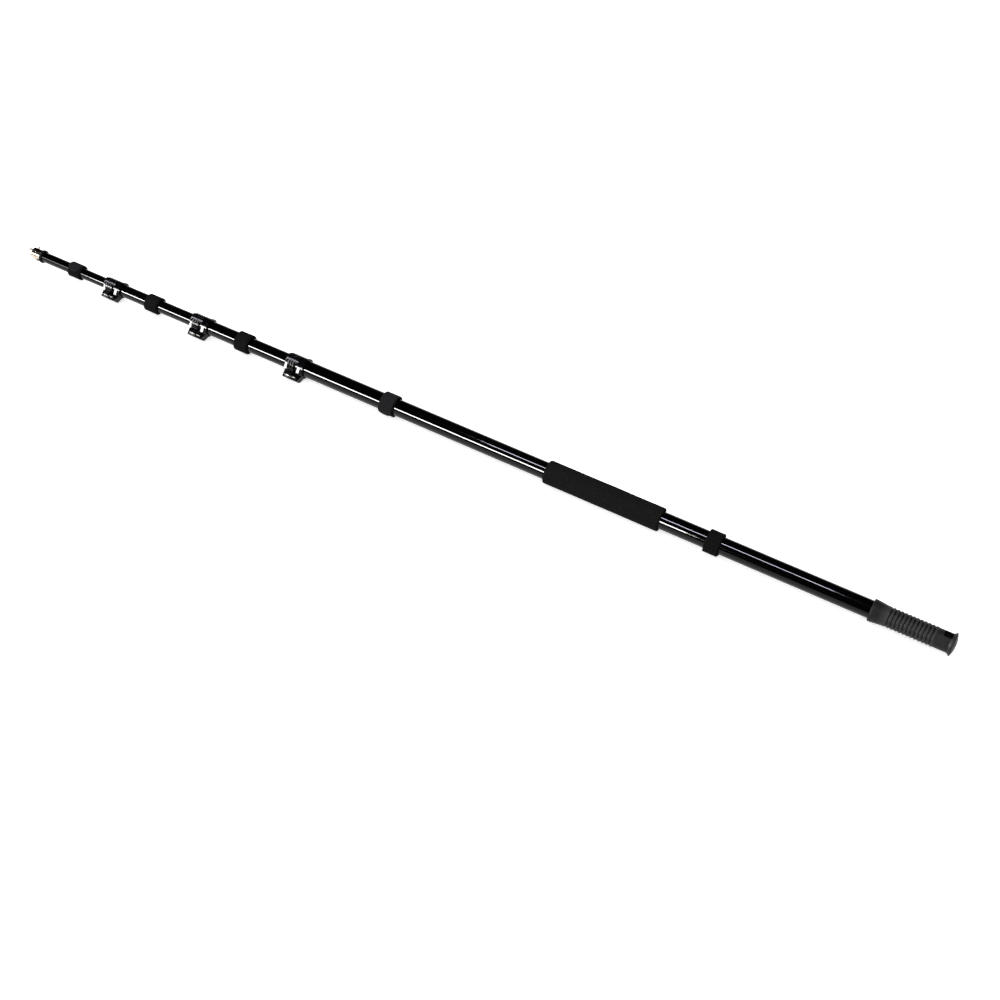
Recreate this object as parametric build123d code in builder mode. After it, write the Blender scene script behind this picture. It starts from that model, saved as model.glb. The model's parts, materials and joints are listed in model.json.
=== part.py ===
"""Telescopic boom pole for a microphone: four tubes, three flip-lever clamps, straps and grips.

The pole lies along X. The origin is on its axis, at the shoulder of the tip thread, and +X runs
towards the butt. Sections are counted from the tip: tube_1 is the thinnest and tube_4 is the
main tube. Each lock sits on the mouth of the tube behind it, so lock_1 grips tube_1.
"""

import os
from math import asin, cos, degrees, radians, sin

from build123d import *

os.makedirs("parts", exist_ok=True)

# Tubes: a standard telescoping set with a 1 mm wall. Each has its front (tip side) and rear end.
WALL = 1.0
TUBE_OD = {1: 16.0, 2: 19.0, 3: 22.0, 4: 25.0}
LOCK_X = {1: 147.5, 2: 313.5, 3: 487.5}
FLANGE_T = 1.5
MOUTH_INSET = 2.0
TUBE_FRONT = {1: 21.0} | {lock + 1: x + MOUTH_INSET for lock, x in LOCK_X.items()}
TUBE_REAR = {1: 1052.0, 2: 1178.0, 3: 1315.0, 4: 1474.0}
BUSH_LENGTH = 40.0
SLIT_WIDTH = 1.6
SLIT_LENGTH = 30.0
RUNNING_GAP = 0.06

# Clamp: a split collar with two ears, squeezed by an eye bolt and a lever with an eccentric foot.
COLLAR_LENGTH = 32.0
COLLAR_WALL = 2.0
COLLAR_NOSE = 1.2
SHOULDER_ANGLE = 77.0
SHOULDER_SPAN = 8.8
SHOULDERS = ((1.6, 5.8), (22.8, 27.3))
RIM_HEIGHT = 0.9
RIM_LENGTH = 2.4
EAR_REACH = 11.5
EAR_HALF = 5.5
EAR_FRONT = 0.8
EAR_REAR = 26.3
EAR_ROOT = 31.0
BOLT_REACH = 6.6
BOLT_R = 2.0
EYE_R = 3.4
EYE_WIDTH = 5.0
PIN_R = 1.5
PIN_HEIGHT = 10.0
CAM_R = 3.8
CAM_THROW = 0.4
NUT_FLATS = 7.0
NUT_T = 3.2
LEVER_T = 1.8
LEVER_GAP = 0.5
LEVER_FROM = 38.0
LEVER_TO = 130.0
FOOT_FRONT = 6.2
FOOT_REAR = 18.2
PAD_FRONT = 2.0
PAD_REAR = 22.4
PAD_FROM = 92.0
LIP_HEIGHT = 1.3
LIP_ANGLE = 7.0
RIB_COUNT = 5
SHANK_RIBS = 3
RIB_PITCH = 4.0
RIB_HEIGHT = 0.85
RIBS_DOWN_TO = 50.0
PIN_REAR = 25.0

# The ears point down towards the floor side of the pole when it lies at rest.
EAR_ANGLE = 215.3
EAR_DIR = (0.0, cos(radians(EAR_ANGLE)), sin(radians(EAR_ANGLE)))

# Straps, counted from the tip: middle, width, tube, and the angle where the tongue's end lies.
STRAP_T = 1.5
STRAPS = {
    1: (88.0, 24.0, 1, 72.0),
    2: (240.0, 24.0, 2, -60.0),
    3: (408.5, 24.0, 3, -60.0),
    4: (663.5, 24.0, 4, 8.0),
    5: (1169.0, 22.0, 4, -60.0),
}
TONGUE_SPAN = 110.0

# Grips on the main tube.
FOAM_FRONT = 918.0
FOAM_REAR = 1091.5
FOAM_R = 17.0
FOAM_ROUND = 1.8
GRIP_FRONT = 1386.0
GRIP_REAR = 1498.0
GRIP_RIM_R = 15.4
GRIP_BODY_R = 13.75
GRIP_WAIST_R = 13.25
GRIP_FLARE_R = 16.2
GRIP_LAND = 1.0
DOME_RISE = 3.5
RIBS_FROM = 1408.0
GROOVES = 12
GROOVE_PITCH = 5.1
GROOVE_R = 1.5
GROOVE_OUT = 0.6
HANG_X = 1484.8
HANG_SIZE = 11.5
HANG_CORNER = 2.0
HANG_TILT = 14.0
PLUG_LENGTH = 10.0
PLUG_HOLE_R = 4.0

# Tip: a 3/8 inch microphone thread with its lock ring. The shank has the thread's minor radius.
THREAD_R = 9.525 / 2
THREAD_LENGTH = 9.0
SHANK_R = 3.95
TIP_R = 9.0
RING_FRONT = 0.5
RING_REAR = 8.5
ADAPTER_FRONT = 9.0
ADAPTER_REAR = 18.0
CAP_R = 10.2
CAP_REAR = TUBE_FRONT[1]
SPIGOT_LENGTH = 25.0
THUMB_PIN_R = 1.6
THUMB_PIN_REACH = 12.0
THUMB_PIN_X = 4.4
SET_SCREW_R = 2.8
SET_SCREW_X = 13.0
SET_SCREW_ANGLE = 18.0
SET_SCREW_STAND = 0.6


def across(x):
    """Plane across the pole at x: its x points out through the ears, and it faces the tip."""
    return Plane(origin=(x, 0, 0), x_dir=EAR_DIR, z_dir=(-1, 0, 0))


def save(builder, name):
    """Label one sub-part and write its STEP file."""
    builder.part.label = name
    export_step(builder.part, f"parts/{name}.step")


def radius(number):
    """Outside radius of one tube."""
    return TUBE_OD[number] / 2


def ring(x, outer, inner):
    """Flat ring across the pole at x, ready to extrude towards the tip."""
    with BuildSketch(across(x), mode=Mode.PRIVATE) as face:
        Circle(outer)
        Circle(inner, mode=Mode.SUBTRACT)
    return face.sketch


def slit(x, reach):
    """Narrow strip across the pole at x on the ear side, which cuts a ring so it can be squeezed."""
    with BuildSketch(across(x), mode=Mode.PRIVATE) as face:
        with Locations((reach / 2, 0)):
            Rectangle(reach, SLIT_WIDTH)
    return face.sketch


def polar(r, angle):
    """Point at an angle from the ears, in a plane across the pole."""
    return (r * cos(radians(angle)), r * sin(radians(angle)))


def sector(r_outer, r_inner, angle_from, angle_to):
    """Flat face between two arcs about the pole's axis, to add to a sketch."""
    with BuildSketch(Plane.XY, mode=Mode.PRIVATE) as face:
        with BuildLine():
            CenterArc((0, 0), r_outer, angle_from, angle_to - angle_from)
            Line(polar(r_outer, angle_to), polar(r_inner, angle_to))
            CenterArc((0, 0), r_inner, angle_from, angle_to - angle_from)
            Line(polar(r_inner, angle_from), polar(r_outer, angle_from))
        make_face()
    return face.sketch


# ---------------------------------------------------------------- tubes and their bushes
def build_tube(number):
    """One aluminium tube; every tube but the first is slit at the mouth where its lock grips."""
    with BuildPart() as tube:
        outer = radius(number)
        length = TUBE_REAR[number] - TUBE_FRONT[number]
        extrude(ring(TUBE_REAR[number], outer, outer - WALL), amount=length)
        if number > 1:
            cut = slit(TUBE_FRONT[number] + SLIT_LENGTH, outer + 1)
            extrude(cut, amount=SLIT_LENGTH, mode=Mode.SUBTRACT)
    save(tube, f"tube_{number}")


def build_mouth_bush(lock):
    """Nylon bush in a tube's mouth that the thinner tube slides in, with a flange on the front."""
    outer = radius(lock + 1)
    inner = radius(lock) + RUNNING_GAP
    mouth = TUBE_FRONT[lock + 1]
    with BuildPart() as bush:
        extrude(ring(mouth + BUSH_LENGTH, outer - WALL, inner), amount=BUSH_LENGTH)
        extrude(ring(mouth, outer, inner), amount=FLANGE_T)
        cut = slit(mouth + BUSH_LENGTH, outer + 1)
        extrude(cut, amount=BUSH_LENGTH + FLANGE_T, mode=Mode.SUBTRACT)
    save(bush, f"mouth_bush_{lock}")


def build_rear_bush(number):
    """Thin nylon sleeve on the hidden rear end of a sliding tube, which centres it."""
    outer = radius(number + 1) - WALL - RUNNING_GAP
    end = TUBE_REAR[number]
    with BuildPart() as bush:
        extrude(ring(end, outer, radius(number)), amount=BUSH_LENGTH)
        extrude(ring(end + FLANGE_T, outer, radius(number) - WALL), amount=FLANGE_T)
    save(bush, f"rear_bush_{number}")


# ---------------------------------------------------------------- clamp locks
def pin_place(lock):
    """Lever pivot of a lock, in the plane across the pole."""
    return (radius(lock + 1) + BOLT_REACH, PIN_HEIGHT)


def bolt_station(lock):
    """Station of the eye bolt, in the middle of the lever's foot."""
    return LOCK_X[lock] + (FOOT_FRONT + FOOT_REAR) / 2


def build_collar(lock):
    """Split collar: raised rear rim, sloped shoulders beside the lever, two ears for the eye bolt."""
    bore = radius(lock + 1)
    outer = bore + COLLAR_WALL
    front = LOCK_X[lock]
    rear = front + COLLAR_LENGTH
    reach = bore + EAR_REACH
    with BuildPart() as collar:
        with BuildSketch(across(rear)):
            Circle(outer)
        extrude(amount=COLLAR_LENGTH)
        nose = collar.edges().filter_by(GeomType.CIRCLE).sort_by(Axis.X)[0]
        fillet(nose, radius=COLLAR_NOSE)
        top = polar(outer, SHOULDER_ANGLE)
        foot = (
            top[0] + SHOULDER_SPAN * sin(radians(SHOULDER_ANGLE)),
            top[1] - SHOULDER_SPAN * cos(radians(SHOULDER_ANGLE)),
        )
        for shoulder_front, shoulder_rear in SHOULDERS:
            with BuildSketch(across(front + shoulder_rear)):
                with BuildLine():
                    Polyline(top, foot, (foot[0], 4), (0, 4), close=True)
                make_face()
            extrude(amount=shoulder_rear - shoulder_front)
        with BuildSketch(across(rear)):
            Circle(outer + RIM_HEIGHT)
        extrude(amount=RIM_LENGTH)
        with BuildSketch(Plane(origin=(0, 0, 0), x_dir=(1, 0, 0), z_dir=-across(0).y_dir)):
            with BuildLine():
                Polyline(
                    (front + EAR_FRONT, 0),
                    (front + EAR_FRONT, reach),
                    (front + EAR_REAR, reach),
                    (front + EAR_ROOT, bore + 1),
                    (front + EAR_ROOT, 0),
                    close=True,
                )
            make_face()
        extrude(amount=EAR_HALF, both=True)
        tips = collar.edges().filter_by(Axis.X)
        chamfer(tips.filter_by(lambda e: abs(e.center().dot(Vector(*EAR_DIR)) - reach) < 0.05), length=1.2)
        with BuildSketch(across(rear)):
            Circle(bore)
        extrude(amount=COLLAR_LENGTH, mode=Mode.SUBTRACT)
        extrude(slit(rear, reach + 1), amount=COLLAR_LENGTH, mode=Mode.SUBTRACT)
        plane = across(bolt_station(lock))
        hole = plane.from_local_coords((bore + BOLT_REACH, 0, 0))
        with BuildSketch(Plane(origin=hole, x_dir=(1, 0, 0), z_dir=plane.y_dir)):
            Circle(BOLT_R + 0.2)
        extrude(amount=2 * EAR_HALF, both=True, mode=Mode.SUBTRACT)
    save(collar, f"collar_{lock}")


def ridges(middle, count, r, angle_from, angle_to):
    """Row of V-shaped thumb ridges on the lever's face, running round the pole between two angles."""
    start = across(0).from_local_coords((*polar(1, angle_to), 0))
    with BuildPart(mode=Mode.PRIVATE) as row:
        with BuildSketch(Plane(origin=(0, 0, 0), x_dir=(1, 0, 0), z_dir=Vector(1, 0, 0).cross(start))):
            for index in range(count):
                station = middle + (index - (count - 1) / 2) * RIB_PITCH
                with BuildLine():
                    Polyline(
                        (station - RIB_PITCH / 2, r - 0.3),
                        (station - RIB_PITCH / 2 + 0.05, r),
                        (station - 0.15, r + RIB_HEIGHT),
                        (station + 0.15, r + RIB_HEIGHT),
                        (station + RIB_PITCH / 2 - 0.05, r),
                        (station + RIB_PITCH / 2, r - 0.3),
                        close=True,
                    )
                make_face()
        revolve(axis=Axis.X, revolution_arc=angle_to - angle_from)
    return row.part


def build_lever(lock):
    """Curved lever over the collar: ribbed thumb pad with a lip, narrow shank and eccentric foot."""
    front = LOCK_X[lock]
    inner = radius(lock + 1) + COLLAR_WALL + LEVER_GAP
    outer = inner + LEVER_T
    pin = pin_place(lock)
    with BuildPart() as lever:
        with BuildSketch(across(front + FOOT_REAR)):
            with Locations((pin[0], pin[1] - CAM_THROW)):
                Circle(CAM_R)
            with BuildLine():
                Polyline(
                    (pin[0] - 2.6, pin[1] + 2.2),
                    polar(outer, LEVER_FROM + 10),
                    polar(inner, LEVER_FROM + 6),
                    polar(inner, LEVER_FROM),
                    (pin[0] - CAM_R + 0.4, pin[1] - 0.6),
                    pin,
                    close=True,
                )
            make_face()
            Circle(inner, mode=Mode.SUBTRACT)
        extrude(amount=FOOT_REAR - FOOT_FRONT)
        with BuildSketch(across(front + FOOT_REAR)):
            add(sector(outer, inner, LEVER_FROM, PAD_FROM + 1))
        extrude(amount=FOOT_REAR - FOOT_FRONT)
        with BuildSketch(across(front + PAD_REAR)):
            add(sector(outer, inner, PAD_FROM, LEVER_TO))
            add(sector(outer + LIP_HEIGHT, inner, LEVER_TO - LIP_ANGLE, LEVER_TO))
        extrude(amount=PAD_REAR - PAD_FRONT)
        add(ridges(bolt_station(lock), RIB_COUNT, outer, PAD_FROM, LEVER_TO - LIP_ANGLE - 1))
        add(ridges(bolt_station(lock), SHANK_RIBS, outer, RIBS_DOWN_TO, PAD_FROM + 1))
        with BuildSketch(across(bolt_station(lock) + EYE_WIDTH / 2 + 0.3)):
            with Locations(pin):
                Circle(CAM_R + 0.9)
        extrude(amount=EYE_WIDTH + 0.6, mode=Mode.SUBTRACT)
        with BuildSketch(across(front + FOOT_REAR)):
            with Locations(pin):
                Circle(PIN_R)
        extrude(amount=FOOT_REAR - FOOT_FRONT, mode=Mode.SUBTRACT)
    save(lever, f"lever_{lock}")


def build_pivot_pin(lock):
    """Steel pin that the lever turns on, standing out behind the lever's foot."""
    with BuildPart() as pin:
        with BuildSketch(across(LOCK_X[lock] + PIN_REAR)):
            with Locations(pin_place(lock)):
                Circle(PIN_R)
        extrude(amount=PIN_REAR - FOOT_FRONT)
    save(pin, f"pivot_pin_{lock}")


def build_eye_bolt(lock):
    """Bolt through both ears, with an eye that the pivot pin runs in."""
    pin = pin_place(lock)
    plane = across(bolt_station(lock))
    tail = EAR_HALF + NUT_T + 1.2
    with BuildPart() as bolt:
        with BuildSketch(across(bolt_station(lock) + EYE_WIDTH / 2)):
            with Locations(pin):
                Circle(EYE_R)
        extrude(amount=EYE_WIDTH)
        end = plane.from_local_coords((pin[0], -tail, 0))
        with BuildSketch(Plane(origin=end, x_dir=(1, 0, 0), z_dir=plane.y_dir)):
            Circle(BOLT_R)
        extrude(amount=tail + pin[1] - 1)
        with BuildSketch(across(bolt_station(lock) + EYE_WIDTH / 2)):
            with Locations(pin):
                Circle(PIN_R + 0.05)
        extrude(amount=EYE_WIDTH, mode=Mode.SUBTRACT)
    save(bolt, f"eye_bolt_{lock}")


def build_nut(lock):
    """Hexagon nut on the far end of the eye bolt, against the ear."""
    plane = across(bolt_station(lock))
    seat = plane.from_local_coords((pin_place(lock)[0], -EAR_HALF - NUT_T, 0))
    with BuildPart() as nut:
        with BuildSketch(Plane(origin=seat, x_dir=(1, 0, 0), z_dir=plane.y_dir)):
            RegularPolygon(NUT_FLATS / 2, 6, major_radius=False)
            Circle(BOLT_R, mode=Mode.SUBTRACT)
        extrude(amount=NUT_T)
    save(nut, f"clamp_nut_{lock}")


# ---------------------------------------------------------------- straps and grips
def build_strap(number):
    """Hook-and-loop strap wound twice round its tube, with the tongue pressed down over the turns."""
    centre, width, tube, tongue = STRAPS[number]
    inner = radius(tube)
    with BuildPart() as strap:
        with BuildSketch(across(centre + width / 2)):
            Circle(inner + 2 * STRAP_T)
            add(sector(inner + 3 * STRAP_T, inner + STRAP_T, tongue, tongue + TONGUE_SPAN))
            Circle(inner, mode=Mode.SUBTRACT)
        extrude(amount=width)
    save(strap, f"cable_strap_{number}")


def build_foam_grip():
    """Closed-cell foam sleeve on the main tube, with rounded ends."""
    with BuildPart() as foam:
        extrude(ring(FOAM_REAR, FOAM_R, radius(4)), amount=FOAM_REAR - FOAM_FRONT)
        rims = foam.edges().filter_by(GeomType.CIRCLE).sort_by(lambda e: e.radius)[-2:]
        fillet(rims, radius=FOAM_ROUND)
    save(foam, "foam_grip")


def build_end_grip():
    """Ribbed rubber boot on the butt: rim, ribs, waist with a hang slot, and a flared domed end."""
    ribs_to = RIBS_FROM + GROOVES * GROOVE_PITCH
    flare_x = GRIP_REAR - DOME_RISE
    dome_r = (DOME_RISE**2 + GRIP_FLARE_R**2) / (2 * DOME_RISE)
    tube_r = radius(4)
    with BuildPart() as grip:
        with BuildSketch(Plane.XZ) as profile:
            with BuildLine():
                Polyline(
                    (GRIP_REAR, 0),
                    (TUBE_REAR[4], 0),
                    (TUBE_REAR[4], tube_r),
                    (GRIP_FRONT, tube_r),
                    (GRIP_FRONT, GRIP_RIM_R - 0.8),
                    (GRIP_FRONT + 0.8, GRIP_RIM_R),
                    (GRIP_FRONT + 3.5, GRIP_RIM_R),
                    (RIBS_FROM - 3, GRIP_BODY_R),
                    (ribs_to + 1, GRIP_BODY_R),
                    (ribs_to + 3, GRIP_WAIST_R),
                    (HANG_X + 2, GRIP_WAIST_R),
                )
                ThreePointArc(
                    (HANG_X + 2, GRIP_WAIST_R),
                    (flare_x - 3, GRIP_WAIST_R + 0.9),
                    (flare_x - GRIP_LAND, GRIP_FLARE_R),
                )
                Line((flare_x - GRIP_LAND, GRIP_FLARE_R), (flare_x, GRIP_FLARE_R))
                CenterArc((GRIP_REAR - dome_r, 0), dome_r, 0, degrees(asin(GRIP_FLARE_R / dome_r)))
            make_face()
        revolve(axis=Axis.X)
        with BuildSketch(Plane.XZ):
            for index in range(GROOVES):
                with Locations((RIBS_FROM + (index + 0.5) * GROOVE_PITCH, GRIP_BODY_R + GROOVE_OUT)):
                    Circle(GROOVE_R)
        revolve(axis=Axis.X, mode=Mode.SUBTRACT)
        through = (0, sin(radians(HANG_TILT)), cos(radians(HANG_TILT)))
        with BuildSketch(Plane(origin=(HANG_X, 0, 0), x_dir=(1, 0, 0), z_dir=through)):
            RectangleRounded(HANG_SIZE, HANG_SIZE, HANG_CORNER)
        extrude(amount=GRIP_FLARE_R + 2, both=True, mode=Mode.SUBTRACT)
    save(grip, "end_grip")


def build_butt_plug():
    """Stopper inside the rear end of the main tube, which the inner tubes stop short of."""
    with BuildPart() as plug:
        extrude(ring(TUBE_REAR[4], radius(4) - WALL, PLUG_HOLE_R), amount=PLUG_LENGTH)
    save(plug, "butt_plug")


# ---------------------------------------------------------------- tip
def build_tip_plug():
    """Black plug that closes the thin tube, with a flange against the tube's end."""
    with BuildPart() as plug:
        extrude(ring(CAP_REAR, CAP_R, SHANK_R), amount=CAP_REAR - ADAPTER_REAR)
        extrude(ring(CAP_REAR + SPIGOT_LENGTH, radius(1) - WALL, SHANK_R), amount=SPIGOT_LENGTH)
    save(plug, "tip_plug")


def build_thread_stud():
    """Steel stud: thread for the microphone mount (at its major diameter) on a shank at the minor."""
    with BuildPart() as stud:
        with BuildSketch(across(CAP_REAR + SPIGOT_LENGTH)):
            Circle(SHANK_R)
        extrude(amount=CAP_REAR + SPIGOT_LENGTH)
        with BuildSketch(across(0)):
            Circle(THREAD_R)
        extrude(amount=THREAD_LENGTH)
        tip = stud.edges().filter_by(GeomType.CIRCLE).sort_by(Axis.X)[0]
        chamfer(tip, length=0.6)
    save(stud, "thread_stud")


def build_lock_ring():
    """Plated ring that runs on the thread and is turned by its thumb pin to lock the mount."""
    with BuildPart() as nut:
        extrude(ring(RING_REAR, TIP_R, SHANK_R + RUNNING_GAP), amount=RING_REAR - RING_FRONT)
        rims = nut.edges().filter_by(GeomType.CIRCLE).sort_by(lambda e: e.radius)[-2:]
        chamfer(rims, length=0.5)
        plane = across(THUMB_PIN_X)
        root = plane.from_local_coords((-TIP_R + 1.5, 0, 0))
        with BuildSketch(Plane(origin=root, x_dir=(1, 0, 0), z_dir=-plane.x_dir)):
            Circle(THUMB_PIN_R)
        extrude(amount=THUMB_PIN_REACH - TIP_R + 1.5)
    save(nut, "lock_ring")


def screw_plane(depth):
    """Plane square to the adapter's set screw, at a distance from the pole's axis."""
    plane = across(SET_SCREW_X)
    out = plane.x_dir * cos(radians(SET_SCREW_ANGLE)) + plane.y_dir * sin(radians(SET_SCREW_ANGLE))
    return Plane(origin=plane.origin + out * depth, x_dir=(1, 0, 0), z_dir=out)


def build_tip_adapter():
    """Plated body pinned to the stud, with a tapped hole for its set screw."""
    with BuildPart() as adapter:
        extrude(ring(ADAPTER_REAR, TIP_R, SHANK_R), amount=ADAPTER_REAR - ADAPTER_FRONT)
        rims = adapter.edges().filter_by(GeomType.CIRCLE).sort_by(lambda e: e.radius)[-2:]
        chamfer(rims, length=0.5)
        with BuildSketch(screw_plane(SHANK_R)):
            Circle(SET_SCREW_R)
        extrude(amount=TIP_R, mode=Mode.SUBTRACT)
    save(adapter, "tip_adapter")


def build_set_screw():
    """Black grub screw with a hexagon socket, which holds the adapter on the stud."""
    length = TIP_R - SHANK_R + SET_SCREW_STAND
    with BuildPart() as screw:
        with BuildSketch(screw_plane(SHANK_R)):
            Circle(SET_SCREW_R)
        extrude(amount=length)
        with BuildSketch(screw_plane(SHANK_R + length)):
            RegularPolygon(1.4, 6, major_radius=False)
        extrude(amount=-1.6, mode=Mode.SUBTRACT)
    save(screw, "set_screw")


for tube_number in TUBE_OD:
    build_tube(tube_number)

for lock_number in LOCK_X:
    build_mouth_bush(lock_number)
    build_rear_bush(lock_number)
    build_collar(lock_number)
    build_lever(lock_number)
    build_pivot_pin(lock_number)
    build_eye_bolt(lock_number)
    build_nut(lock_number)

for strap_number in STRAPS:
    build_strap(strap_number)

build_foam_grip()
build_end_grip()
build_butt_plug()
build_tip_plug()
build_thread_stud()
build_lock_ring()
build_tip_adapter()
build_set_screw()
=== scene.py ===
"""Looks for the telescopic boom pole: materials, straps, grips, threads, lights and camera."""

import json
import math
import random

import bpy
from mathutils import Matrix, Vector, noise


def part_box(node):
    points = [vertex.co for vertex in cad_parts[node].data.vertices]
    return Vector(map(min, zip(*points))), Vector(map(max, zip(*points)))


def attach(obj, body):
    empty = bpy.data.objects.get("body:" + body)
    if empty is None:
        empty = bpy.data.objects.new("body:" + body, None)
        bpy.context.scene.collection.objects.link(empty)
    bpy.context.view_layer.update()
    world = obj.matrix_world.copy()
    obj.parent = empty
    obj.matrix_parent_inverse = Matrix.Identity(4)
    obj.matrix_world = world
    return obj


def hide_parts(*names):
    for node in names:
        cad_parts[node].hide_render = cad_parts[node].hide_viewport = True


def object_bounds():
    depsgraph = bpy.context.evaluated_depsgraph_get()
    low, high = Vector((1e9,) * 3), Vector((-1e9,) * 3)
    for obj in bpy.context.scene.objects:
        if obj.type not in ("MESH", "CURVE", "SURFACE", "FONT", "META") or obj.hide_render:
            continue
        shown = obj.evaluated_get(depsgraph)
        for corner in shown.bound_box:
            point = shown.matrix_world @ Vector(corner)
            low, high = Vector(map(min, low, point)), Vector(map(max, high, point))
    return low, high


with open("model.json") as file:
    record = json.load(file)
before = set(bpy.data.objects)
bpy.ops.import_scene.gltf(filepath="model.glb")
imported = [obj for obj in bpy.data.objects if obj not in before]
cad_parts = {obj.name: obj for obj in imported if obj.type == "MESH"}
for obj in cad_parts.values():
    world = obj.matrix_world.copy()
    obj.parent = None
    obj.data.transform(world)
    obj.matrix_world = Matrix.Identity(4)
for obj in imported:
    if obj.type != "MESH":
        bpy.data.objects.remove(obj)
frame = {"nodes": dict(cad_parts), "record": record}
cad_low, cad_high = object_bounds()

MM = 0.001
TURN = 2 * math.pi
# The clamp ears point this way round the pole, from +Y towards +Z.
EAR_ANGLE = math.radians(215.3)


# ---------------------------------------------------------------- places on the pole
def around(angle):
    """Unit vector across the pole, at an angle from the ears towards the lever's side."""
    return Vector((0, math.cos(EAR_ANGLE - angle), math.sin(EAR_ANGLE - angle)))


def on_pole(x, r, angle):
    """Point at a station along the pole, a radius and an angle from the ears."""
    return Vector((x, 0, 0)) + around(angle) * r


def span(node):
    """Front and rear stations of a CAD node."""
    low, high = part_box(node)
    return low.x, high.x


def outside_radius(node):
    """Radius of a round CAD node that is centred on the pole."""
    low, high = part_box(node)
    return (high.z - low.z) / 2


def body_with(node):
    """Name of the CAD body that a node belongs to."""
    bodies = frame["record"]["behaviour"]["bodies"]
    return next(name for name, nodes in bodies.items() if node in nodes)


# ---------------------------------------------------------------- meshes
def make_mesh(name, points, faces, material, body):
    """A new piece from points and faces, with its material, riding on a CAD body."""
    mesh = bpy.data.meshes.new(name)
    mesh.from_pydata([tuple(p) for p in points], [], faces)
    mesh.validate()
    mesh.polygons.foreach_set("use_smooth", [True] * len(mesh.polygons))
    piece = bpy.data.objects.new(name, mesh)
    bpy.context.scene.collection.objects.link(piece)
    mesh.materials.append(material)
    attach(piece, body)
    return piece


def grid_faces(rows, columns, close_rows=False):
    """Quads over rows of points, each row closed on itself, and the rows closed too if asked."""
    faces = []
    for i in range(rows if close_rows else rows - 1):
        for j in range(columns):
            i2, j2 = (i + 1) % rows, (j + 1) % columns
            faces.append((i * columns + j, i * columns + j2, i2 * columns + j2, i2 * columns + j))
    return faces


def lathe(profile, turns, wobble):
    """Points of a round shape about the pole from (station, radius) pairs.

    wobble is a function of (station, angle) that adds to the radius.
    """
    points = []
    for x, r in profile:
        for j in range(turns):
            angle = TURN * j / turns
            points.append(on_pole(x, r + wobble(x, angle), angle))
    return points


# ---------------------------------------------------------------- materials
class Surface:
    """One node-based material on the part's own coordinates, which are the row frame's."""

    def __init__(self, name, **settings):
        self.material = bpy.data.materials.new(name)
        self.material.use_nodes = True
        self.nodes = self.material.node_tree.nodes
        self.links = self.material.node_tree.links
        self.shader = self.nodes["Principled BSDF"]
        self.place = self.nodes.new("ShaderNodeTexCoord").outputs["Object"]
        for socket, value in settings.items():
            self.shader.inputs[socket.replace("_", " ")].default_value = value

    def stretched(self, x, y, z):
        """The part's coordinates with a scale along each axis."""
        mapping = self.nodes.new("ShaderNodeMapping")
        mapping.inputs["Scale"].default_value = (x, y, z)
        self.links.new(self.place, mapping.inputs["Vector"])
        return mapping.outputs["Vector"]

    def noise(self, scale, detail=2.0, place=None, roughness=0.5):
        """Soft noise, from 0 to 1."""
        node = self.nodes.new("ShaderNodeTexNoise")
        node.inputs["Scale"].default_value = scale
        node.inputs["Detail"].default_value = detail
        node.inputs["Roughness"].default_value = roughness
        self.links.new(place or self.place, node.inputs["Vector"])
        return node.outputs["Fac"]

    def cells(self, scale):
        """Distance to the nearest cell point."""
        node = self.nodes.new("ShaderNodeTexVoronoi")
        node.inputs["Scale"].default_value = scale
        self.links.new(self.place, node.inputs["Vector"])
        return node.outputs["Distance"]

    def waves(self, scale, direction):
        """Parallel bands across one axis."""
        node = self.nodes.new("ShaderNodeTexWave")
        node.bands_direction = direction
        node.inputs["Scale"].default_value = scale
        self.links.new(self.place, node.inputs["Vector"])
        return node.outputs["Fac"]

    def from_axis(self):
        """Distance from the pole's axis, in metres."""
        across = self.stretched(0, 1, 1)
        node = self.nodes.new("ShaderNodeVectorMath")
        node.operation = "LENGTH"
        self.links.new(across, node.inputs[0])
        return node.outputs["Value"]

    def spread(self, value, low, high, to_low=0.0, to_high=1.0):
        """A value's range low to high, moved onto another range."""
        node = self.nodes.new("ShaderNodeMapRange")
        node.inputs["From Min"].default_value = low
        node.inputs["From Max"].default_value = high
        node.inputs["To Min"].default_value = to_low
        node.inputs["To Max"].default_value = to_high
        self.links.new(value, node.inputs["Value"])
        return node.outputs["Result"]

    def combine(self, operation, first, second):
        """Two values, or a value and a number, through one math operation."""
        node = self.nodes.new("ShaderNodeMath")
        node.operation = operation
        for socket, value in zip(node.inputs, (first, second)):
            if isinstance(value, (int, float)):
                socket.default_value = value
            else:
                self.links.new(value, socket)
        return node.outputs["Value"]

    def colours(self, value, first, second):
        """Base colour between two colours, by a value from 0 to 1."""
        node = self.nodes.new("ShaderNodeMix")
        node.data_type = "RGBA"
        node.inputs["A"].default_value = (*first, 1)
        node.inputs["B"].default_value = (*second, 1)
        self.links.new(value, node.inputs["Factor"])
        self.links.new(node.outputs["Result"], self.shader.inputs["Base Color"])

    def roughness(self, value):
        """Roughness from a value."""
        self.links.new(value, self.shader.inputs["Roughness"])

    def bumps(self, *layers, edge=0.0):
        """Bump layers as (height, distance in metres), over slightly rounded edges if asked."""
        normal = None
        if edge:
            bevel = self.nodes.new("ShaderNodeBevel")
            bevel.samples = 4
            bevel.inputs["Radius"].default_value = edge
            normal = bevel.outputs["Normal"]
        for height, distance in layers:
            bump = self.nodes.new("ShaderNodeBump")
            bump.inputs["Distance"].default_value = distance
            self.links.new(height, bump.inputs["Height"])
            if normal:
                self.links.new(normal, bump.inputs["Normal"])
            normal = bump.outputs["Normal"]
        self.links.new(normal, self.shader.inputs["Normal"])


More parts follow.
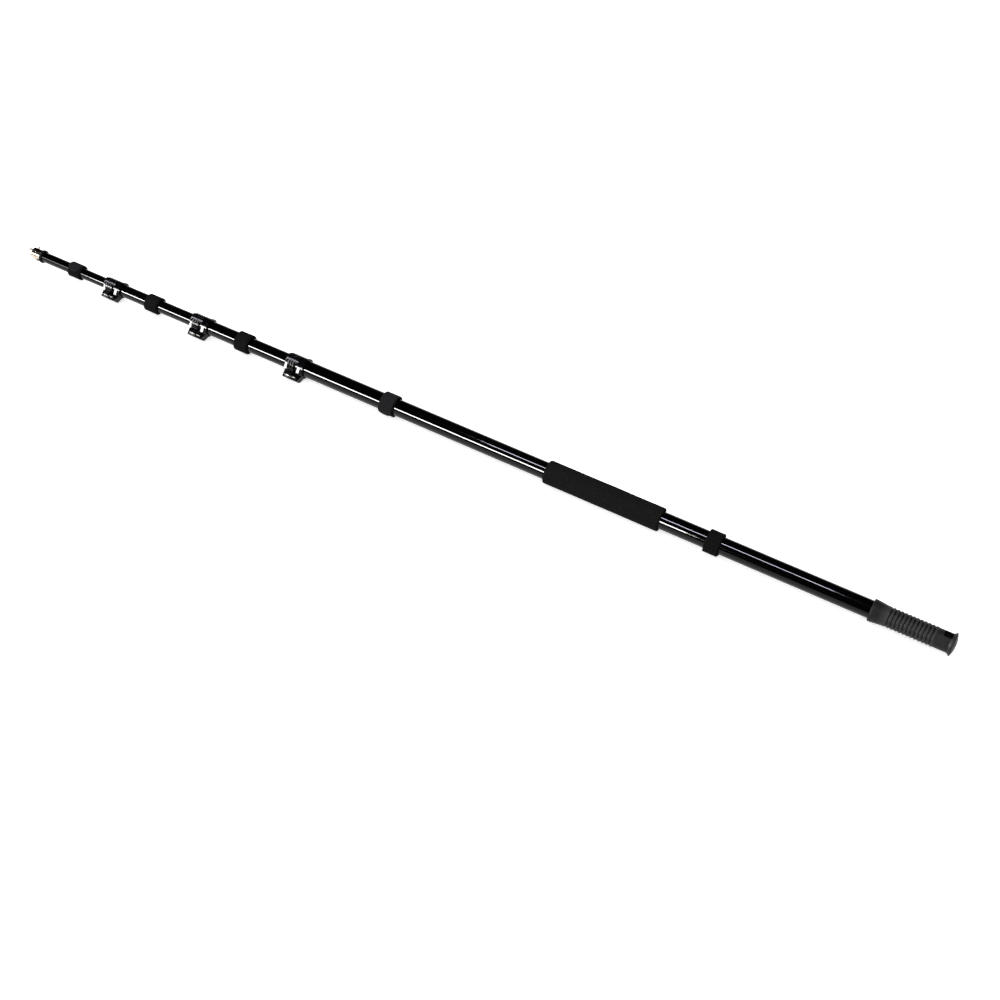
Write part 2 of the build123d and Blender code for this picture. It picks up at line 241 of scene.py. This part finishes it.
def anodised_tube():
    """Gloss black anodised aluminium: drawn lines along the tube, faint scuffs from sliding."""
    s = Surface("anodised_tube", IOR=1.5, Specular_IOR_Level=0.16)
    drawn = s.noise(1.0, 3, s.stretched(9, 2600, 2600))
    scuffs = s.noise(1.0, 4, s.stretched(60, 900, 900), 0.7)
    tone_mask = s.spread(scuffs, 0.62, 0.78)
    s.colours(tone_mask, (0.0008, 0.0008, 0.001), (0.004, 0.004, 0.0045))
    s.roughness(s.combine("ADD", s.spread(drawn, 0.3, 0.7, 0.05, 0.1), s.combine("MULTIPLY", tone_mask, 0.12)))
    s.bumps((drawn, 0.000004), (s.noise(90, 1), 0.00004))
    return s.material


def gloss_lock():
    """Gloss black moulded nylon of the clamps, with fine orange peel and finger marks."""
    s = Surface("gloss_lock", IOR=1.5, Specular_IOR_Level=0.13)
    marks = s.noise(160, 4, None, 0.65)
    s.colours(s.spread(marks, 0.35, 0.75), (0.001, 0.001, 0.0014), (0.003, 0.003, 0.004))
    s.roughness(s.spread(marks, 0.3, 0.75, 0.12, 0.2))
    s.bumps((s.noise(1400, 2), 0.000006), (s.noise(260, 2), 0.00002), edge=0.0003)
    return s.material


def nylon():
    """Matte black nylon of the bushes and the tip plug, turned marks across the pole."""
    s = Surface("nylon", IOR=1.5, Specular_IOR_Level=0.06)
    turned = s.noise(1.0, 2, s.stretched(5200, 60, 60))
    s.colours(turned, (0.003, 0.003, 0.0035), (0.008, 0.008, 0.009))
    s.roughness(s.spread(turned, 0.2, 0.8, 0.34, 0.55))
    s.bumps((turned, 0.00002), edge=0.0003)
    return s.material


def turned_steel(name, colour, darker, metallic, rough):
    """Steel with fine turning lines round the pole and small stains."""
    s = Surface(name, Metallic=metallic)
    lines = s.noise(1.0, 3, s.stretched(7000, 90, 90))
    stains = s.noise(420, 4, None, 0.6)
    s.colours(s.spread(stains, 0.4, 0.75), colour, darker)
    s.roughness(s.spread(lines, 0.25, 0.75, *rough))
    s.bumps((lines, 0.000003), edge=0.00025)
    return s.material


def strap_web(name, dark, light):
    """Black hook-and-loop webbing: fine cross weave under a brushed nap."""
    s = Surface(name, IOR=1.4, Specular_IOR_Level=0.02)
    weave = s.combine("MULTIPLY", s.waves(260, "X"), s.waves(240, "Y"))
    nap = s.noise(2600, 4, None, 0.7)
    s.colours(s.spread(nap, 0.3, 0.75), dark, light)
    s.roughness(s.spread(nap, 0.2, 0.8, 0.78, 0.98))
    s.bumps((weave, 0.00012), (nap, 0.00022))
    return s.material


def cell_foam():
    """Charcoal closed-cell foam: small open pores on a finely grained skin."""
    s = Surface("cell_foam", IOR=1.4, Specular_IOR_Level=0.02)
    pores = s.spread(s.cells(1300), 0.05, 0.4)
    coarse = s.noise(420, 3)
    grain = s.noise(3800, 3, None, 0.7)
    s.colours(s.spread(coarse, 0.3, 0.7), (0.005, 0.0046, 0.0044), (0.0105, 0.0098, 0.0094))
    s.roughness(s.spread(grain, 0.2, 0.8, 0.72, 0.95))
    s.bumps((pores, 0.00016), (grain, 0.00008), (coarse, 0.00012))
    return s.material


def grip_rubber():
    """Matte black rubber with fine grain: painted highlight on the rib crests, painted shade in the
    grooves, and a trace of dust that darkens it at random.
    """
    s = Surface("grip_rubber", IOR=1.5, Specular_IOR_Level=0.08)
    grain = s.noise(2400, 3, None, 0.6)
    dust = s.noise(75, 4, None, 0.6)
    out = s.from_axis()
    # Painted highlight and painted shade: lighter on the rib crests, darker in the grooves; the rim and
    # flare farther out keep only 0.35 of the lighter tone.
    crest_highlight_groove_shade = s.combine("MULTIPLY", s.spread(out, 0.01295, 0.01372), s.spread(out, 0.0138, 0.0146, 1.0, 0.35))
    # The dust noise darkens this painted highlight and shade at random, by up to a quarter.
    tone_mask = s.combine("MULTIPLY", crest_highlight_groove_shade, s.spread(dust, 0.2, 0.8, 0.75, 1.0))
    s.colours(tone_mask, (0.003, 0.003, 0.0032), (0.034, 0.0337, 0.0345))
    s.roughness(s.spread(grain, 0.2, 0.8, 0.36, 0.52))
    s.bumps((grain, 0.00005), edge=0.0004)
    return s.material


def make_materials():
    """Every material by the record's slot that it finishes."""
    clamp_steel = turned_steel("bright_steel", (0.07, 0.066, 0.061), (0.04, 0.037, 0.033), 1, (0.24, 0.38))
    nickel = turned_steel("nickel_plate", (0.62, 0.55, 0.46), (0.3, 0.24, 0.18), 1, (0.1, 0.17))
    black_oxide = turned_steel("black_screw", (0.02, 0.02, 0.02), (0.035, 0.03, 0.028), 0.8, (0.3, 0.5))
    return {
        "tube_anodised": anodised_tube(),
        "nylon_bush": nylon(),
        "lock_gloss": gloss_lock(),
        "bright_steel": clamp_steel,
        "nickel_plate": nickel,
        "black_screw": black_oxide,
        "strap_fabric": strap_web("strap_web", (0.002, 0.002, 0.0022), (0.009, 0.009, 0.0095)),
        "grip_foam": cell_foam(),
        "grip_rubber": grip_rubber(),
    }


def finish_cad_nodes(materials):
    """Gives each CAD node the material of its own slot in the record."""
    for part in frame["record"]["subparts"]:
        node = frame["nodes"][part["node"]]
        node.data.materials.clear()
        node.data.materials.append(materials[part["material_slot"]])


# ---------------------------------------------------------------- straps
STRAP_T = 1.3 * MM
STRAP_TURNS = 2.3
STRAP_ANGLE = TURN * STRAP_TURNS
STRAP_EDGE = 0.45 * MM
# How far the band wanders along the pole to either side while it winds in.
DRIFT = 1.2 * MM
# Length of the rounded end of the tongue.
TONGUE = 9 * MM


def strap_section(half_width, steps):
    """Cross-section of the webbing: (along the pole, out from its middle) round a closed loop."""
    outline = []
    flat = max(half_width - STRAP_EDGE, 0.0)
    half_t = STRAP_T / 2
    for k in range(steps + 1):
        outline.append((-flat + 2 * flat * k / steps, half_t))
    for k in range(1, 4):
        turn = math.pi * k / 4
        outline.append((flat + min(half_width, STRAP_EDGE) * math.sin(turn), half_t * math.cos(turn)))
    for k in range(steps + 1):
        outline.append((flat - 2 * flat * k / steps, -half_t))
    for k in range(1, 4):
        turn = math.pi * k / 4
        outline.append((-flat - min(half_width, STRAP_EDGE) * math.sin(turn), -half_t * math.cos(turn)))
    return outline


def strap_radius(inner, turned):
    """Radius of the webbing's middle after turning this far in from the tongue's end."""
    return inner + STRAP_T / 2 + STRAP_T * (STRAP_ANGLE - turned) / TURN


def strap_shift(turned):
    """Station of the webbing's middle from the strap's own middle after turning this far."""
    return DRIFT * (2 * turned / STRAP_ANGLE - 1)


def build_strap(number, tube, tongue_end, flap, lift, fibres, web, smooth_web):
    """Band wound inwards from its rounded tongue, each turn lying on the one below.

    The tongue's end lies at an angle from the ears, and the flap is how far the smooth side goes.
    """
    node = f"cable_strap_{number}"
    front, rear = span(node)
    inner = outside_radius(f"tube_{tube}") + 0.05 * MM
    half = (rear - front) / 2 - DRIFT
    middle = (front + rear) / 2
    rows = 190
    steps = 12
    points = []
    for i in range(rows):
        turned = STRAP_ANGLE * i / (rows - 1)
        r = strap_radius(inner, turned)
        from_end = turned * r + 0.02 * MM
        narrow = math.sqrt(max(TONGUE**2 - max(TONGUE - from_end, 0) ** 2, 0)) / TONGUE
        half_here = half * (0.08 + 0.92 * narrow)
        raised = lift * math.exp(-from_end / (4 * MM))
        centre = middle + strap_shift(turned)
        for across_x, out in strap_section(half_here, steps):
            place = on_pole(centre + across_x, r + out + raised, tongue_end + turned)
            nap = noise.noise(place * 900 + Vector((number * 7.3, 0, 0))) * 0.09 * MM
            sway = noise.noise(Vector((across_x * 60, turned * 1.7, number * 3.1))) * 0.22 * MM
            points.append(on_pole(centre + across_x, r + out + raised + nap + sway, tongue_end + turned))
    columns = len(strap_section(half, steps))
    faces = grid_faces(rows, columns)
    faces.append(tuple(range(columns)))
    faces.append(tuple(reversed(range((rows - 1) * columns, rows * columns))))
    band = make_mesh(f"strap_{number}_band", points, faces, web, body_with(node))
    band.data.materials.append(smooth_web)
    for face in range(int((rows - 1) * flap / STRAP_ANGLE) * columns):
        band.data.polygons[face].material_index = 1
    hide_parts(node)
    build_nap(number, fibres, inner, middle, half, tongue_end, web)


def add_fibre(points, faces, spine, beside, thick):
    """One fibre of three sides along a spine of four points."""
    base = len(points)
    for centre in spine:
        for j in range(3):
            turn = TURN * j / 3
            points.append(centre + Vector((math.cos(turn), 0, 0)) * thick + beside * math.sin(turn) * thick)
    for k in range(3):
        for j in range(3):
            a = base + k * 3
            j2 = (j + 1) % 3
            faces.append((a + j, a + j2, a + 3 + j2, a + 3 + j))
    faces.append((base, base + 2, base + 1))
    faces.append((base + 9, base + 10, base + 11))


def build_nap(number, count, inner, middle, half, tongue_end, material):
    """Loose loop fibres standing from the outer turn and its edges."""
    chance = random.Random(400 + number)
    points = []
    faces = []
    for _ in range(count):
        turned = chance.uniform(0.02, 0.98) * TURN
        r = strap_radius(inner, turned) + STRAP_T / 2 - 0.1 * MM
        side = chance.uniform(-1, 1)
        if chance.random() < 0.35:
            side = math.copysign(1, side)
        reach = half * min(1, math.sqrt(min(turned * r, TONGUE) / TONGUE))
        x = middle + strap_shift(turned) + side * (reach - 0.2 * MM)
        angle = tongue_end + turned
        beside = around(angle + math.pi / 2)
        length = chance.uniform(0.5, 1.3) * MM
        lean = Vector((chance.uniform(-1, 1) + side * 0.4, 0, 0)) + beside * chance.uniform(-1, 1)
        thick = chance.uniform(0.03, 0.055) * MM
        spine = []
        for part in (0, 1 / 3, 2 / 3, 1):
            rise = length * math.sin(part * 1.9) * 0.7
            spine.append(on_pole(x, r + rise, angle) + lean * length * part * 0.8)
        add_fibre(points, faces, spine, beside, thick)
    body = body_with(f"cable_strap_{number}")
    make_mesh(f"strap_{number}_nap", points, faces, material, body)


# ---------------------------------------------------------------- foam sleeve
FOAM_ROUND = 1.7 * MM
FOAM_STATIONS = 70
FOAM_SIDES = 120


def foam_profile(front, rear, outer, bore):
    """(station, radius) pairs from the bore's front end over the outside to its rear end."""
    soft = FOAM_ROUND
    profile = [(front, bore), (front, outer - soft)]
    for k in range(1, 7):
        turn = math.pi / 2 * k / 6
        profile.append((front + soft * (1 - math.cos(turn)), outer - soft * (1 - math.sin(turn))))
    for k in range(1, FOAM_STATIONS):
        profile.append((front + soft + (rear - front - 2 * soft) * k / FOAM_STATIONS, outer))
    for k in range(7):
        turn = math.pi / 2 * k / 6
        profile.append((rear - soft * (1 - math.sin(turn)), outer - soft * (1 - math.cos(turn))))
    profile.append((rear, bore))
    return profile


def build_foam(material):
    """Foam sleeve with soft ends and the slight unevenness of a sleeve pushed on by hand."""
    front, rear = span("foam_grip")
    bore = outside_radius("tube_4") + 0.02 * MM
    profile = foam_profile(front, rear, outside_radius("foam_grip") - 0.1 * MM, bore)

    def uneven(x, angle):
        place = Vector((x * 22, math.cos(angle) * 0.9, math.sin(angle) * 0.9))
        fine = Vector((x * 240, math.cos(angle) * 4, math.sin(angle) * 4))
        return (noise.noise(place) * 0.25 + noise.noise(fine) * 0.05) * MM

    points = lathe(profile, FOAM_SIDES, uneven)
    last_row = (len(profile) - 1) * FOAM_SIDES
    for j in range(FOAM_SIDES):
        points[j] = on_pole(front, bore, TURN * j / FOAM_SIDES)
        points[last_row + j] = on_pole(rear, bore, TURN * j / FOAM_SIDES)
    faces = grid_faces(len(profile), FOAM_SIDES, close_rows=True)
    sleeve = make_mesh("foam_sleeve", points, faces, material, body_with("foam_grip"))
    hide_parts("foam_grip")


# ---------------------------------------------------------------- microphone thread
THREAD_MAJOR = 4.7625 * MM
THREAD_MINOR = 3.95 * MM
THREAD_PITCH = 25.4 / 16 * MM
THREAD_LEAD_IN = 0.6 * MM
THREAD_SIDES = 60
ROWS_PER_PITCH = 14
# Where the flank, the root and the next flank begin, as parts of one pitch.
CREST_END, ROOT_START, ROOT_END = 0.125, 0.4375, 0.6875


def thread_height(phase):
    """Height of the thread from 0 at the root to 1 at the crest, at a part of its pitch."""
    if phase < CREST_END:
        return 1.0
    if phase < ROOT_START:
        return 1 - (phase - CREST_END) / (ROOT_START - CREST_END)
    if phase < ROOT_END:
        return 0.0
    return (phase - ROOT_END) / (1 - ROOT_END)


def build_thread(material):
    """The stud with its real 3/8 inch, 16 per inch, right-hand thread."""
    front, rear = span("thread_stud")
    steps = int(-front / THREAD_PITCH * ROWS_PER_PITCH)
    points = [on_pole(front, 0, 0)]
    for i in range(steps + 1):
        x = front * (1 - i / steps)
        lead_in = THREAD_MAJOR - THREAD_LEAD_IN + (x - front)
        for j in range(THREAD_SIDES):
            height = thread_height((x / THREAD_PITCH + j / THREAD_SIDES) % 1)
            r = THREAD_MINOR + (THREAD_MAJOR - THREAD_MINOR) * height
            points.append(on_pole(x, min(r, lead_in), TURN * j / THREAD_SIDES))
    for x in (0.2 * MM, rear):
        points.extend(on_pole(x, THREAD_MINOR, TURN * j / THREAD_SIDES) for j in range(THREAD_SIDES))
    points.append(on_pole(rear, 0, 0))
    rows = steps + 3
    faces = [tuple(corner + 1 for corner in face) for face in grid_faces(rows, THREAD_SIDES)]
    last = len(points) - 1
    last_row = 1 + (rows - 1) * THREAD_SIDES
    for j in range(THREAD_SIDES):
        j2 = (j + 1) % THREAD_SIDES
        faces.append((0, 1 + j2, 1 + j))
        faces.append((last, last_row + j, last_row + j2))
    stud = make_mesh("mic_thread_stud", points, faces, material, body_with("thread_stud"))
    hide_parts("thread_stud")


# ---------------------------------------------------------------- camera and studio
TARGET = Vector((0.871, 0, 0))
DISTANCE = 1.93
AZIMUTH = math.radians(29.24)
ELEVATION = math.radians(51.61)
FOCAL = 50.0
SIDE_SHIFT = 0.02446
UP_SHIFT = 0.0574
FLOOR_HALF = 12.0
STRIP_DISTANCE = 1.6


def make_camera():
    """Camera at the photograph's angle: the butt is nearer and lower right, the tip upper left."""
    back = Vector(
        (
            math.sin(AZIMUTH) * math.cos(ELEVATION),
            -math.cos(AZIMUTH) * math.cos(ELEVATION),
            math.sin(ELEVATION),
        )
    )
    right = Vector((math.cos(AZIMUTH), math.sin(AZIMUTH), 0))
    up = back.cross(right)
    camera = bpy.data.objects.new("camera", bpy.data.cameras.new("camera"))
    camera.data.lens = FOCAL
    camera.data.sensor_width = 36.0
    camera.data.clip_end = 50
    camera.matrix_world = Matrix.Translation(
        TARGET + back * DISTANCE - right * SIDE_SHIFT - up * UP_SHIFT
    ) @ Matrix((right, up, back)).transposed().to_4x4()
    bpy.context.scene.collection.objects.link(camera)
    bpy.context.scene.camera = camera


def area_light(name, place, aim, size, power, colour=(1, 1, 1), glossy=True, diffuse=True):
    """A rectangular light at place facing aim, its first size along the pole."""
    light = bpy.data.lights.new(name, "AREA")
    light.shape = "RECTANGLE"
    light.size, light.size_y = size
    light.energy = power
    light.color = colour
    lamp = bpy.data.objects.new(name, light)
    back = (place - aim).normalized()
    side = (Vector((1, 0, 0)) - back * back.x).normalized()
    lamp.matrix_world = Matrix.Translation(place) @ Matrix(
        (side, back.cross(side), back)
    ).transposed().to_4x4()
    lamp.visible_glossy = glossy
    lamp.visible_diffuse = diffuse
    lamp.visible_camera = False
    bpy.context.scene.collection.objects.link(lamp)


def strip_light(name, x, angle, size, power, colour=(1, 1, 1)):
    """A strip beside the pole, at an angle from +Y towards +Z, that only draws lines on what is glossy."""
    way = Vector((0, math.cos(math.radians(angle)), math.sin(math.radians(angle))))
    aim = Vector((x, 0, 0))
    area_light(name, aim + way * STRIP_DISTANCE, aim, size, power, colour, diffuse=False)


def make_floor():
    """White paper under the pole, with a little light of its own."""
    z = cad_low.z - 0.2 * MM
    corners = [(x * FLOOR_HALF, y * FLOOR_HALF, z) for x, y in ((-1, -1), (1, -1), (1, 1), (-1, 1))]
    mesh = bpy.data.meshes.new("floor")
    mesh.from_pydata(corners, [], [(0, 1, 2, 3)])
    floor = bpy.data.objects.new("floor", mesh)
    paper = Surface("floor_paper", Roughness=0.9, Specular_IOR_Level=0.0)
    paper.colours(paper.noise(3, 2), (0.93, 0.93, 0.93), (0.95, 0.95, 0.95))
    paper.shader.inputs["Emission Color"].default_value = (1, 1, 1, 1)
    paper.shader.inputs["Emission Strength"].default_value = 0.7
    mesh.materials.append(paper.material)
    bpy.context.scene.collection.objects.link(floor)


def make_lights():
    """A broad soft light, three strips that draw lines on the tubes, and a panel for the ribs."""
    middle = Vector(((cad_low.x + cad_high.x) / 2, 0, 0))
    area_light("soft_top", middle + Vector((0, 0, 3)), middle, (7, 7), 285, glossy=False)
    strip_light("strip_key", -0.1, 152.5, (1.9, 0.3), 250)
    strip_light("strip_tip", -1.2, 152.5, (0.3, 0.3), 6)
    strip_light("strip_top", 0.75, 100.3, (0.96, 0.16), 42, (0.86, 0.8, 1))
    past_tip = middle + Vector((-4.7, -0.5, 1.5))
    area_light("rib_panel", past_tip, middle, (2.6, 2.6), 320, diffuse=False)


def make_world():
    """A pale surround as bright as the floor's far edge, which lights nothing."""
    world = bpy.data.worlds.new("studio")
    world.use_nodes = True
    world.node_tree.nodes["Background"].inputs["Color"].default_value = (0.71, 0.71, 0.71, 1)
    world.cycles_visibility.diffuse = False
    world.cycles_visibility.glossy = False
    bpy.context.scene.world = world
    bpy.context.scene.view_settings.view_transform = "Standard"


materials = make_materials()
finish_cad_nodes(materials)
charcoal = strap_web("strap_charcoal", (0.009, 0.009, 0.01), (0.019, 0.019, 0.021))
# Strap, its tube, angle of the tongue's end and length of the smooth flap in degrees, lift in mm, fibres.
for strap_number, tube, end, flap, lift, fibres in (
    (1, 1, 72, 110, 0.5, 260),
    (2, 2, -60, 40, 0.2, 420),
    (3, 3, -60, 40, 0.2, 420),
    (4, 4, 8, 200, 0.3, 160),
    (5, 4, -60, 40, 0.3, 900),
):
    build_strap(
        strap_number, tube, math.radians(end), math.radians(flap), lift * MM, fibres,
        materials["strap_fabric"], charcoal,
    )
build_foam(materials["grip_foam"])
build_thread(turned_steel("stud_steel", (0.62, 0.59, 0.55), (0.4, 0.37, 0.33), 0.8, (0.16, 0.34)))
make_camera()
make_floor()
make_lights()
make_world()
